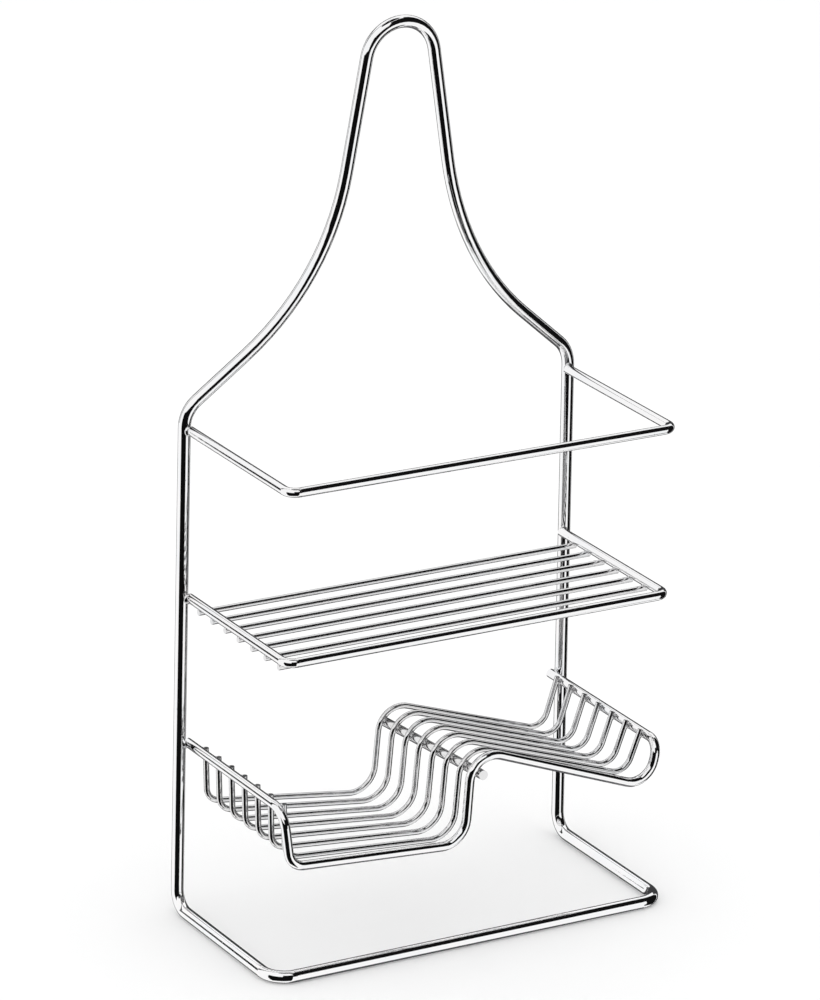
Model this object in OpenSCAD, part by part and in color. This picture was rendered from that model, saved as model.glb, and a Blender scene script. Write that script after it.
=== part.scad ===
// Hanging shower caddy of bright welded rod.
// One long rod is bent into a ring for the shower arm, a neck, two uprights and a foot.
// A rail, a flat shelf and a stepped basket are welded to its uprights.
// X runs across the caddy, -Y points away from the wall and Z points up.
// The origin is the middle of the hanging ring's bend, where the shower arm passes through.

/* [Overall] */
// Height from the underside of the foot to the top of the hanging ring
total_h = 462; // [455:1:560]
// Distance between the uprights' centre lines at the shoulders
shoulder_w = 221; // [200:1:240]
// Distance between the uprights' centre lines at the foot
foot_w = 225; // [187.5:0.5:244]
// Height of the shoulders above the foot's centre line
shoulder_h = 265.5; // [255:0.5:270]
// How far the foot reaches out from the uprights' centre lines
foot_depth = 103.5; // [92:0.5:115]

/* [Rods] */
// Diameter of the frame's rod
frame_d = 6.35; // [5.6:0.05:7.6]
// Diameter of the rod of the rail, the shelf's rim and the basket's rim
rim_d = 4.8; // [4:0.1:5.5]
// Diameter of the cross wires
wire_d = 3; // [2.5:0.1:3.5]
// Diameter of the straight bar under the basket's ridge
ridge_d = 5; // [4:0.1:5.5]
// How deep two rods sink into each other where they are welded
weld = 0.15; // [0.1:0.05:0.2]

/* [Hanging ring] */
// Bend radius of the ring's centre line
ring_r = 19.3; // [17:0.1:22]
// Angle between each side of the neck and the vertical
neck_angle = 9.5; // [9:0.5:11]
// How far the foot of the neck stands forward of the uprights
neck_forward = 12.6; // [8:0.2:16]
// How far the neck leans forward for each millimetre of its height
neck_lean = 0.018; // [0:0.002:0.03]

/* [Rail and shelf] */
// How far the rail is below the shoulders
rail_drop = 9.5; // [9.5:0.5:30]
// How far the rail reaches out
rail_depth = 106; // [95:0.5:115]
// Height of the shelf's rim above the foot's centre line
shelf_h = 167.5; // [150:0.5:190]
// How far the shelf's rim reaches out
shelf_depth = 105; // [95:0.5:115]

/* [Basket] */
// Height of the basket's rim above the foot's centre line
basket_h = 88; // [80:0.5:100]
// How far the basket's rim reaches out
basket_depth = 105; // [95:0.5:126]
// Drop from the rim to the tray beside the left side wall
tray_drop = 28; // [22:0.5:34]
// How much lower the tray lies at the step than beside the side wall
tray_slope = 6.5; // [4:0.5:10]
// How far the step between the tray and the slope stands to the left of the middle
step_x = 5; // [0:0.5:15]
// Rise from the rim to the corner of the ridge
ridge_rise = 16; // [10:0.5:22]
// Drop from the rim to the foot of the slope
slope_drop = 23.5; // [18:0.5:28]
// How much lower the floor lies at the uprights than at the front
floor_fall = 7.5; // [0:0.5:10]

/* [Hidden] */
WIRES = [1 : 7];
$fn = 32;

// Each bend of a rod starts a hair after its straight, and a ball a hair thicker than the rod joins them
gap = 0.01;
swell = 0.003;

// Bend radii of the frame rod
shoulder_r = 18;
neck_r = 150;
ankle_r = 10;
toe_r = 12;
// Bend radii of the rail's, the shelf's and the basket's front corners
rim_r = 5.5;
basket_left_r = 12;
basket_right_r = 8;
// Bend radii of the basket's front, from the left corner to the right one
tray_corner_r = 8;
step_r = 13.5;
slope_corner_r = 12;
slope_wire_r = 9;
// The rim's bend over the ridge bar is a little tighter than the wires', so that it clears the bar
ridge_r = 12.8;

// Heights of the ring's top and its bend's centre above the foot's centre line
ring_top = total_h - frame_d;
ring_h = ring_top - ring_r;

// Corners of the frame's neck, above the foot's centre line
// The two sides of the neck would meet at the peak, far above the ring
peak_rise = ring_r / sin(neck_angle) - ring_r;
peak_h = ring_top + peak_rise;
neck_foot_x = 37.8;
neck_foot_h = peak_h - neck_foot_x / tan(neck_angle);
peak_y = -neck_forward - neck_lean * (peak_h - neck_foot_h);
ring_y = -neck_forward - neck_lean * (ring_h - neck_foot_h);

// How far the welded arms stand inside the uprights
rail_inset = 1.9;
shelf_inset = 3;
basket_inset = frame_d / 2 + rim_d / 2 - weld;
// The arms of the rail and the shelf end just inside the front of the uprights
arm_start = -sqrt(pow(frame_d / 2, 2) - pow(rail_inset, 2)) - 0.1;
// The basket's arms pass the uprights
basket_start = 1.5;

// Half of the distance between the uprights at a height above the foot
function half_w(h) = (foot_w + (shoulder_w - foot_w) * h / shoulder_h) / 2;

rail_h = shoulder_h - rail_drop;
rail_x = half_w(rail_h) - rail_inset;
shelf_x = half_w(shelf_h) - shelf_inset;
basket_x = half_w(basket_h) - basket_inset;

// The wires are spread evenly from back to front, and clear of the rim's front
shelf_first_y = -14.5;
shelf_pitch = (shelf_depth - 21.6) / 6;
basket_first_y = -11;
basket_pitch = (basket_depth - 22.8) / 6;
function shelf_wire_y(i) = shelf_first_y - shelf_pitch * (i - 1);
function basket_wire_y(i) = basket_first_y - basket_pitch * (i - 1);

// How far the left front corner of the basket's rim stands back from the front of the tray
corner_back = 5;
// How far the rim's ends of the tray and of the slope stand in from its arms
tray_in = 1.5;
slope_in = 5.3;
// How far the step's lower corner and its upper one are to the left and right of the step's place
step_foot = 0.7;
step_top = 2.4;
// Corners of the rim's front, from the left one to the right one
tray_h = basket_h - tray_drop;
front_path = [
    [-basket_x, corner_back - basket_depth, basket_h, basket_left_r],
    [tray_in - basket_x, -basket_depth, tray_h, tray_corner_r],
    [-step_x - step_foot, -basket_depth, tray_h - tray_slope, step_r],
    [step_top - step_x, -basket_depth, basket_h + ridge_rise, ridge_r],
    [basket_x - slope_in, -basket_depth, basket_h - slope_drop, slope_corner_r],
    [basket_x, -basket_depth, basket_h, basket_right_r]
];
STEP = 2;
RIDGE = 3;

// How high the wires' left and right ends stand above the centre line of the basket's arms
left_end = 0.8;
right_end = 3;
// How far the wires' side walls lean in towards their feet
left_lean = 1;
right_lean = 8;
// How far the wires' right ends lean out past the inside of the arm
right_bow = 0.6;
// How much higher the wires' slopes end than the rim's, and their share of the floor's fall
slope_lift = 4.5;
slope_share = 0.85;
// How far the ridge bar reaches past the first wire and past the rim
bar_back = 4;
bar_front = 3.7;
// How far round the ridge bend the bar sits, from the middle of the bend towards the step
bar_turn = 25;
// How far the shelf's wires reach past its arms' centre lines
shelf_wire_end = 1.2;

function unit(v) = v / norm(v);
function spot(c) = [c[0], c[1], c[2]];
function heading(path, i) = unit(spot(path[i]) - spot(path[i - 1]));
// The part of v that is square to the unit vector w
function across(w, v) = unit(v - w * (v * w));
function turn(path, i) = acos(heading(path, i) * heading(path, i + 1));
// Distance from a corner to where its bend begins, which is nothing at the two ends
function setback(path, i) = i == 0 || i == len(path) - 1 ? 0 : path[i][3] * tan(turn(path, i) / 2);

// Direction from a corner to the middle of its bend, and the point that lies a depth inside the bend
function inward(path, i) = unit(heading(path, i + 1) - heading(path, i));
function inside(path, i, r, depth) =
    spot(path[i]) + inward(path, i) * (r / cos(turn(path, i) / 2) - r + depth);

// Round bend that leaves the origin along Z and turns towards X
module bend(r, angle, d) {
    translate([r, 0, 0])
        rotate([90, 0, 180])
            rotate_extrude(angle = angle, $fn = 96)
                translate([r, 0]) circle(d = d, $fn = 32);
}

// Ball that joins a straight to a bend, a hair thicker than the rod
module knuckle(d) sphere(d = d + 2 * swell, $fn = 32);

// Lays the rest of a rod up the local Z axis: the straight to corner i, its bend, and then what follows.
// u and w are the local X and Z axes as directions of the path.
module lay(path, d, i, u, w) {
    last = len(path) - 1;
    straight = norm(spot(path[i]) - spot(path[i - 1])) - setback(path, i - 1) - setback(path, i);
    from = i == 1 ? 0 : gap;
    to = i == last ? straight : straight - gap;
    translate([0, 0, from]) cylinder(d = d, h = to - from);
    if (i > 1)
        knuckle(d);
    if (i < last) {
        next = heading(path, i + 1);
        side = across(w, next);
        angle = turn(path, i);
        r = path[i][3];
        translate([0, 0, straight])
            rotate([0, 0, atan2(side * cross(w, u), side * u)]) {
                knuckle(d);
                bend(r, angle, d);
                translate([r, 0, 0])
                    rotate([0, angle, 0])
                        translate([-r, 0, 0])
                            lay(path, d, i + 1, side * cos(angle) - w * sin(angle), next);
            }
    }
}

// Round rod bent along a path of corners, each [x, y, z, bend radius]
module rod(path, d) {
    w = heading(path, 1);
    u = across(w, len(path) > 2 ? heading(path, 2) : [0, 0, 1]);
    v = cross(w, u);
    multmatrix([
        [u[0], v[0], w[0], path[0][0]],
        [u[1], v[1], w[1], path[0][1]],
        [u[2], v[2], w[2], path[0][2]],
        [0, 0, 0, 1]
    ])
        lay(path, d, 1, u, w);
}

// Moves a shape that is measured from the foot of the uprights to the origin in the ring
module from_foot() translate([0, -ring_y, -ring_h]) children();

// Flat three-sided rim that reaches out from the uprights at a height
module rim(x, h, depth) {
    path = [
        [-x, arm_start, h, 0],
        [-x, -depth, h, rim_r],
        [x, -depth, h, rim_r],
        [x, arm_start, h, 0]
    ];
    from_foot() rod(path, rim_d);
}

// Right half of the frame, from the middle of the foot to the top of the ring
module frame_half() {
    path = [
        [-ring_r, -foot_depth, 0, 0],
        [foot_w / 2, -foot_depth, 0, toe_r],
        [foot_w / 2, 0, 0, ankle_r],
        [shoulder_w / 2, 0, shoulder_h, shoulder_r],
        [neck_foot_x, -neck_forward, neck_foot_h, neck_r],
        [0, peak_y, peak_h, ring_r],
        [-neck_foot_x, -neck_forward, neck_foot_h, 0]
    ];
    intersection() {
        rod(path, frame_d);
        translate([0, -foot_w, -foot_w]) cube([foot_w, 2 * foot_w, total_h + 2 * foot_w]);
    }
}

module frame_rod() {
    color("gainsboro") from_foot() {
        frame_half();
        mirror([1, 0, 0]) frame_half();
    }
}

module top_rail() color("gainsboro") rim(rail_x, rail_h, rail_depth);

module shelf_frame() color("gainsboro") rim(shelf_x, shelf_h, shelf_depth);

// Straight wire welded under the shelf's arms
module shelf_wire(i) {
    reach = shelf_x + shelf_wire_end;
    y = shelf_wire_y(i);
    h = shelf_h - rim_d / 2 - wire_d / 2 + weld;
    color("silver") from_foot() rod([[-reach, y, h], [reach, y, h]], wire_d);
}

module basket_rim() {
    path = concat(
        [[-basket_x, basket_start, basket_h]],
        front_path,
        [[basket_x, basket_start, basket_h]]
    );
    color("gainsboro") from_foot() rod(path, rim_d);
}

// Path of a wire across the basket, between the insides of the rim's two arms.
// It follows the rim's front, with its ridge flush with the inside of the rim.
// Its floor falls towards the uprights.
function basket_wire_path(i) =
    let (
        y = basket_wire_y(i),
        fall = floor_fall * (1 + y / basket_depth),
        side = basket_x - rim_d / 2 - wire_d / 2 + weld,
        flush = (rim_d - wire_d) / 2,
        top = inside(front_path, RIDGE, 0, flush / cos(turn(front_path, RIDGE) / 2))
    ) [
        [-side, y, basket_h + left_end],
        [left_lean - side, y, tray_h, tray_corner_r],
        [front_path[STEP][0], y, tray_h - tray_slope - fall, step_r],
        [top[0], y, top[2] - fall, step_r - flush],
        [side - right_lean, y, basket_h - slope_drop + slope_lift - slope_share * fall, slope_wire_r],
        [side + right_bow, y, basket_h + right_end]
    ];

module basket_wire(i) color("silver") from_foot() rod(basket_wire_path(i), wire_d);

// Middle of the ridge bar under a wire, where it touches the hollow of the wire's ridge bend.
// It is turned round the bend towards the step.
function bar_spot(path) =
    let (
        r = step_r - (rim_d - wire_d) / 2,
        away = -inward(path, RIDGE),
        side = [
            away[0] * cos(bar_turn) - away[2] * sin(bar_turn),
            0,
            away[0] * sin(bar_turn) + away[2] * cos(bar_turn)
        ]
    ) inside(path, RIDGE, r, r) + side * (r - wire_d / 2 - ridge_d / 2 + weld);

// Straight bar welded under the ridge of the wires and the rim
module ridge_bar() {
    back = bar_spot(basket_wire_path(1));
    front = bar_spot(basket_wire_path(7));
    along = unit(front - back);
    start = back - along * bar_back;
    end = front + along * (basket_depth + basket_wire_y(7) + bar_front);
    color("silver") from_foot() rod([start, end], ridge_d);
}

frame_rod();
top_rail();
shelf_frame();
for (i = WIRES)
    shelf_wire(i);
basket_rim();
for (i = WIRES)
    basket_wire(i);
ridge_bar();
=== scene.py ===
import math
import random

import bmesh
import bpy
from mathutils import Matrix, Vector


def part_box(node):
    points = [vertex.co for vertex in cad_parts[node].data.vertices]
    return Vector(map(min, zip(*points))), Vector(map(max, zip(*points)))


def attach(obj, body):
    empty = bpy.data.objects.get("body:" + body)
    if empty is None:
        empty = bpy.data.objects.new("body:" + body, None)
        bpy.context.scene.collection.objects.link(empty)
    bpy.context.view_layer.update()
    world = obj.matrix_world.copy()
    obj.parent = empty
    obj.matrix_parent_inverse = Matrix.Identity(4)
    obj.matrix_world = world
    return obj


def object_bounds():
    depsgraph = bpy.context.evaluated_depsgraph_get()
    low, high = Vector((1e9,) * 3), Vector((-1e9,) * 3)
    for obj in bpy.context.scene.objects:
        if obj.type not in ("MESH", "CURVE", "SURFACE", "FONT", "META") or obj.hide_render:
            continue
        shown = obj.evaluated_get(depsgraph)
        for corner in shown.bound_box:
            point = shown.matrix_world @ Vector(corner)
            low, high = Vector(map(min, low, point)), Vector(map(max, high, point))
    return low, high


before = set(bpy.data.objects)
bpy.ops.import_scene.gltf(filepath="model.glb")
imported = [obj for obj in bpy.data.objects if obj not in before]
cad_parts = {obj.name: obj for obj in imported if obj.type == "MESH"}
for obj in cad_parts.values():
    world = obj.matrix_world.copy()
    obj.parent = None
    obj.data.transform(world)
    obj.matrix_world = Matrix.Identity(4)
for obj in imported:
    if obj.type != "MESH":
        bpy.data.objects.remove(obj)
CAD_BOX = [Vector(corner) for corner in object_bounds()]
random.seed(7)

# Rod radii, in metres
FRAME_R = 0.006350 / 2
RIM_R = 0.0048 / 2

# The frame's own landmarks, from the CAD boxes
FOOT_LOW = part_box("frame_rod")[0].z
UPRIGHT_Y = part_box("frame_rod")[1].y - FRAME_R
# The basket's arms stand this far above the foot's centre line
BASKET_RISE = 0.088
ARM_Z = FOOT_LOW + FRAME_R + BASKET_RISE
BASKET_ARMS = (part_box("basket_rim")[0].x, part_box("basket_rim")[1].x)
WIRES = range(1, 8)


def grey_level(value, tint=(1.0, 1.0, 1.0)):
    """A grey with a slight tint, as RGBA."""
    return (value * tint[0], value * tint[1], value * tint[2], 1.0)


def direction(azimuth, elevation):
    """The way from the caddy to a place round it; 0 is straight in front, 90 to the right."""
    a, e = math.radians(azimuth), math.radians(elevation)
    return Vector((math.sin(a) * math.cos(e), -math.cos(a) * math.cos(e), math.sin(e)))


# ---------------------------------------------------------------- camera


def make_camera():
    """The photograph's view: from the left and above, through a long lens."""
    azimuth, elevation, roll = -29.98, 19.82, math.radians(1.21)
    distance, aside, above = 3.1897, -0.01541, -0.05524
    aim_height = 0.260
    focal_pixels, long_side = 6345.0, 1000.0
    back = direction(azimuth, elevation)
    right = Vector((math.cos(math.radians(azimuth)), math.sin(math.radians(azimuth)), 0.0))
    up = back.cross(right)
    cam_x = right * math.cos(roll) + up * math.sin(roll)
    cam_y = up * math.cos(roll) - right * math.sin(roll)
    target = Vector((0.0, UPRIGHT_Y, FOOT_LOW + FRAME_R + aim_height))
    data = bpy.data.cameras.new("camera")
    data.sensor_width = 36.0
    data.lens = data.sensor_width * focal_pixels / long_side
    data.clip_start, data.clip_end = 0.05, 60.0
    camera = bpy.data.objects.new("camera", data)
    turn = Matrix((cam_x, cam_y, back)).transposed()
    camera.matrix_world = turn.to_4x4()
    camera.location = target - cam_x * aside + cam_y * above + back * distance
    bpy.context.scene.collection.objects.link(camera)
    bpy.context.scene.camera = camera


make_camera()


# ---------------------------------------------------------------- studio


# Brightness of the white tent
TENT = 1.0


def node_tree(owner):
    """An empty node tree for a material or the world."""
    owner.use_nodes = True
    owner.node_tree.nodes.clear()
    return owner.node_tree.nodes, owner.node_tree.links


def add_node(nodes, kind, settings):
    """A new shader node of one kind, with some of its inputs set."""
    node = nodes.new(kind)
    for name, value in settings.items():
        node.inputs[name].default_value = value
    return node


def make_world():
    """A white tent all round, which lights the caddy and which the chrome reflects."""
    world = bpy.data.worlds.new("studio")
    bpy.context.scene.world = world
    nodes, links = node_tree(world)
    out = nodes.new("ShaderNodeOutputWorld")
    settings = {"Color": grey_level(1.0), "Strength": TENT}
    light = add_node(nodes, "ShaderNodeBackground", settings)
    links.new(light.outputs[0], out.inputs[0])


def card(name, azimuths, elevations, distance, grey):
    """A curved card of one grey, spanning two angles each way, that only reflections see."""
    bluish = (1.0, 1.0, 1.04)
    rows, columns = 8, 16
    centre = (CAD_BOX[0] + CAD_BOX[1]) / 2
    points = []
    for j in range(rows + 1):
        for i in range(columns + 1):
            azimuth = azimuths[0] + (azimuths[1] - azimuths[0]) * i / columns
            elevation = elevations[0] + (elevations[1] - elevations[0]) * j / rows
            points.append(centre + direction(azimuth, elevation) * distance)
    faces = []
    for j in range(rows):
        for i in range(columns):
            k = j * (columns + 1) + i
            faces.append((k, k + 1, k + columns + 2, k + columns + 1))
    mesh = bpy.data.meshes.new(name)
    mesh.from_pydata(points, [], faces)
    mat = bpy.data.materials.new(name)
    nodes, links = node_tree(mat)
    out = nodes.new("ShaderNodeOutputMaterial")
    settings = {"Color": grey_level(grey, bluish), "Strength": 1.0}
    glow = add_node(nodes, "ShaderNodeEmission", settings)
    links.new(glow.outputs[0], out.inputs[0])
    mesh.materials.append(mat)
    obj = bpy.data.objects.new(name, mesh)
    obj.visible_camera = False
    obj.visible_shadow = False
    obj.visible_diffuse = False
    bpy.context.scene.collection.objects.link(obj)


def make_floor():
    """A pale floor that runs far behind the caddy; the chrome reflects the tent instead of it."""
    mesh = bpy.data.meshes.new("floor")
    bm = bmesh.new()
    bmesh.ops.create_grid(bm, x_segments=8, y_segments=8, size=14.0)
    bm.to_mesh(mesh)
    bm.free()
    mat = bpy.data.materials.new("floor_paper")
    nodes, links = node_tree(mat)
    out = nodes.new("ShaderNodeOutputMaterial")
    settings = {"Base Color": grey_level(0.96), "Roughness": 0.9, "Specular IOR Level": 0.1}
    shader = add_node(nodes, "ShaderNodeBsdfPrincipled", settings)
    links.new(shader.outputs[0], out.inputs[0])
    mesh.materials.append(mat)
    floor = bpy.data.objects.new("floor", mesh)
    floor.location = (0.0, 0.0, FOOT_LOW)
    floor.visible_glossy = False
    bpy.context.scene.collection.objects.link(floor)


def make_light(name, azimuth, elevation, distance, size, watts):
    """A round soft light that shines at the middle of the caddy."""
    data = bpy.data.lights.new(name, "AREA")
    data.shape = "DISK"
    data.size = size
    data.energy = watts
    lamp = bpy.data.objects.new(name, data)
    out = direction(azimuth, elevation)
    lamp.rotation_mode = "QUATERNION"
    lamp.rotation_quaternion = out.to_track_quat("Z", "Y")
    lamp.location = (CAD_BOX[0] + CAD_BOX[1]) / 2 + out * distance
    lamp.visible_glossy = False
    bpy.context.scene.collection.objects.link(lamp)


bpy.context.scene.view_settings.view_transform = "Standard"
make_world()
make_floor()
make_light("top_light", 10, 80, 3.0, 2.4, 12)
# Dark round the camera, overhead and at both sides; greys behind and below draw the rods' edges
card("dark_camera", (-86, 2), (-60, 14), 1.6, 0.004)
card("dark_bridge", (-34, 22), (2, 36), 1.35, 0.005)
card("dark_canopy", (8, 101), (8, 70), 1.1, 0.006)
card("dark_right", (46, 101), (-48, 12), 1.2, 0.006)
card("dark_top", (-180, 180), (74, 89), 1.0, 0.01)
card("dark_left", (-144, -134), (-8, 74), 1.5, 0.02)
card("grey_behind", (108, 192), (-60, 24), 2.6, 0.05)
card("grey_under", (30, 195), (-82, -60), 2.0, 0.09)


# ---------------------------------------------------------------- chrome


def chrome(name, base, roughness, waviness):
    """Bright chrome plate: slow waves, fine polishing lines, small pits, and haze in patches."""
    mat = bpy.data.materials.new(name)
    nodes, links = node_tree(mat)
    out = nodes.new("ShaderNodeOutputMaterial")
    shader = add_node(nodes, "ShaderNodeBsdfPrincipled", {"Metallic": 1.0})
    coords = nodes.new("ShaderNodeTexCoord")

    haze = add_node(nodes, "ShaderNodeTexNoise", {"Scale": 45.0, "Detail": 4.0})
    spread = {"From Min": 0.35, "From Max": 0.75, "To Min": roughness, "To Max": roughness * 1.9}
    haze_range = add_node(nodes, "ShaderNodeMapRange", spread)
    tone = nodes.new("ShaderNodeValToRGB")
    low, high = tone.color_ramp.elements
    low.position, low.color = 0.3, grey_level(base, (0.975, 0.985, 1.0))
    high.position, high.color = 0.7, grey_level(base * 1.03, (1.0, 0.985, 0.985))

    lines = add_node(nodes, "ShaderNodeTexNoise", {"Scale": 900.0, "Detail": 3.0})
    waves = add_node(nodes, "ShaderNodeTexNoise", {"Scale": 120.0, "Detail": 2.0})
    pits = add_node(nodes, "ShaderNodeTexVoronoi", {"Scale": 260.0})
    pit_edge = add_node(nodes, "ShaderNodeMapRange", {"From Min": 0.03, "From Max": 0.09})
    wave_bump = add_node(nodes, "ShaderNodeBump", {"Strength": waviness, "Distance": 0.0004})
    line_bump = add_node(nodes, "ShaderNodeBump", {"Strength": 0.05, "Distance": 0.00005})
    pit_bump = add_node(nodes, "ShaderNodeBump", {"Strength": 0.25, "Distance": 0.00006})

    for texture in (haze, lines, waves, pits):
        links.new(coords.outputs["Object"], texture.inputs["Vector"])
    links.new(haze.outputs["Fac"], haze_range.inputs["Value"])
    links.new(haze_range.outputs["Result"], shader.inputs["Roughness"])
    links.new(haze.outputs["Fac"], tone.inputs["Fac"])
    links.new(tone.outputs["Color"], shader.inputs["Base Color"])
    links.new(waves.outputs["Fac"], wave_bump.inputs["Height"])
    links.new(lines.outputs["Fac"], line_bump.inputs["Height"])
    links.new(pits.outputs["Distance"], pit_edge.inputs["Value"])
    links.new(pit_edge.outputs["Result"], pit_bump.inputs["Height"])
    links.new(wave_bump.outputs["Normal"], line_bump.inputs["Normal"])
    links.new(line_bump.outputs["Normal"], pit_bump.inputs["Normal"])
    links.new(pit_bump.outputs["Normal"], shader.inputs["Normal"])
    links.new(shader.outputs[0], out.inputs[0])
    return mat


FRAME_CHROME = chrome("frame_chrome", 0.93, 0.035, 0.10)
RIM_CHROME = chrome("rim_chrome", 0.92, 0.04, 0.10)
WIRE_CHROME = chrome("wire_chrome", 0.78, 0.07, 0.12)
WELD_CHROME = chrome("weld_chrome", 0.80, 0.14, 0.5)


def dress(node, mat):
    """Gives a CAD node its material."""
    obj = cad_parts[node]
    for slot in obj.material_slots:
        slot.material = mat


dress("frame_rod", FRAME_CHROME)
for name in ("top_rail", "shelf_frame", "basket_rim"):
    dress(name, RIM_CHROME)
for i in WIRES:
    dress(f"shelf_wire_{i}", WIRE_CHROME)
    dress(f"basket_wire_{i}", WIRE_CHROME)
dress("ridge_bar", WIRE_CHROME)


# ---------------------------------------------------------------- welds


# X, Y and Z radii of the weld nuggets, in metres
END_WELD = (0.0028, 0.0014, 0.0027)
SIDE_WELD = (0.0009, 0.0021, 0.0024)
SHELF_WELD = (0.0014, 0.0015, 0.0006)
BASKET_WELD = (0.0006, 0.0014, 0.0015)
RIDGE_WELD = (0.0017, 0.0015, 0.0006)


def bead(bm, centre, radii, lean=0.0):
    """A weld nugget: a lumpy ball squeezed to three radii and leant about the Y axis."""
    lump_count, low_lump, high_lump, sharpness = 9, 0.02, 0.09, 6
    made = bmesh.ops.create_icosphere(bm, subdivisions=3, radius=1.0)["verts"]
    lumps = []
    for _ in range(lump_count):
        way = Vector([random.uniform(-1, 1) for _ in range(3)]).normalized()
        lumps.append((way, random.uniform(low_lump, high_lump)))
    turn = Matrix.Rotation(lean, 3, "Y")
    for v in made:
        n = v.co.normalized()
        swell = 1.0 + sum(size * max(0.0, n.dot(way)) ** sharpness for way, size in lumps)
        v.co = centre + turn @ Vector([n[k] * radii[k] * swell for k in range(3)])


def weld_piece(name, beads):
    """One piece for the welds of one kind; it moves with the caddy."""
    bm = bmesh.new()
    for item in beads:
        bead(bm, *item)
    mesh = bpy.data.meshes.new(name)
    bm.to_mesh(mesh)
    bm.free()
    for polygon in mesh.polygons:
        polygon.use_smooth = True
    mesh.materials.append(WELD_CHROME)
    obj = bpy.data.objects.new(name, mesh)
    bpy.context.scene.collection.objects.link(obj)
    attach(obj, "root")


def middle(node):
    """The centre of a CAD node's box."""
    low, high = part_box(node)
    return (low + high) / 2


def end_welds(node):
    """Welds where the two arm ends of a flat rim meet the fronts of the uprights."""
    shift, sink = 0.0006, 0.0007
    low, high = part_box(node)
    beads = []
    for x in (low.x + RIM_R, high.x - RIM_R):
        outward = math.copysign(shift, x)
        centre = Vector((x + outward, high.y - sink, high.z - RIM_R))
        beads.append((centre, END_WELD))
    return beads


def upright_welds():
    """The rail's and the shelf's arms butt on the uprights; the basket's arms pass inside them."""
    beads = end_welds("top_rail") + end_welds("shelf_frame")
    bite = 0.0001
    for x in (BASKET_ARMS[0] + bite, BASKET_ARMS[1] - bite):
        beads.append((Vector((x, UPRIGHT_Y, ARM_Z)), SIDE_WELD))
    return beads


def shelf_welds():
    """Each shelf wire is welded to the undersides of the shelf's two arms."""
    low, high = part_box("shelf_frame")
    beads = []
    for i in WIRES:
        for x in (low.x + RIM_R, high.x - RIM_R):
            centre = Vector((x, middle(f"shelf_wire_{i}").y, low.z))
            beads.append((centre, SHELF_WELD))
    return beads


def basket_welds():
    """Each basket wire is welded to the insides of the basket's two arms."""
    beads = []
    for i in WIRES:
        y = middle(f"basket_wire_{i}").y
        for x in (BASKET_ARMS[0] + 2 * RIM_R, BASKET_ARMS[1] - 2 * RIM_R):
            beads.append((Vector((x, y, ARM_Z)), BASKET_WELD))
    return beads


def ridge_welds():
    """The ridge bar is welded into the hollow of the ridge of each wire and of the rim."""
    to_wire, lean = Vector((-0.844, 0.0, 0.536)), -1.005
    low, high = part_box("ridge_bar")
    bar_r = (high.x - low.x) / 2
    start = Vector(((low.x + high.x) / 2, high.y, low.z + bar_r))
    end = Vector(((low.x + high.x) / 2, low.y, high.z - bar_r))
    places = [middle(f"basket_wire_{i}").y for i in WIRES] + [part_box("basket_rim")[0].y + RIM_R]
    beads = []
    for y in places:
        share = (y - start.y) / (end.y - start.y)
        centre = start.lerp(end, share) + to_wire * bar_r
        beads.append((centre, RIDGE_WELD, lean))
    return beads


weld_piece("welds_upright", upright_welds())
weld_piece("welds_shelf", shelf_welds())
weld_piece("welds_basket", basket_welds())
weld_piece("welds_ridge", ridge_welds())
